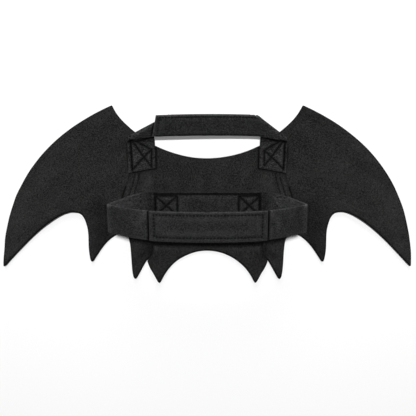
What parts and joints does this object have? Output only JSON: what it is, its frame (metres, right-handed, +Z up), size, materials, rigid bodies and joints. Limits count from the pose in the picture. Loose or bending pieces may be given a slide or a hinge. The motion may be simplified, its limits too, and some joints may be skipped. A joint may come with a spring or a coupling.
{
  "type": "pet bat wings costume",
  "caption": "Felt bat wings for a small pet: a body panel with two scalloped wings, a wide belly strap loop with a closure flap, and a folded neck strap.",
  "frame": {"origin": "on the floor under the middle of the whole object, which lies on its outer face with the straps up", "axes": "+X along the span, +Y from the hem to the neck opening, +Z up from the floor through the belly loop"},
  "size_m": [0.4798, 0.2042, 0.0998],
  "materials": {
    "felt": "matte felt",
    "strap": "matte felt strap with sewn hook-and-loop tape"
  },
  "bodies": {
    "root": {"body_panel": "felt", "wing_right": "felt", "wing_left": "felt", "belly_strap": "strap", "belly_closure": "strap", "neck_strap_left": "strap", "neck_strap_right": "strap"}
  },
  "joints": []
}
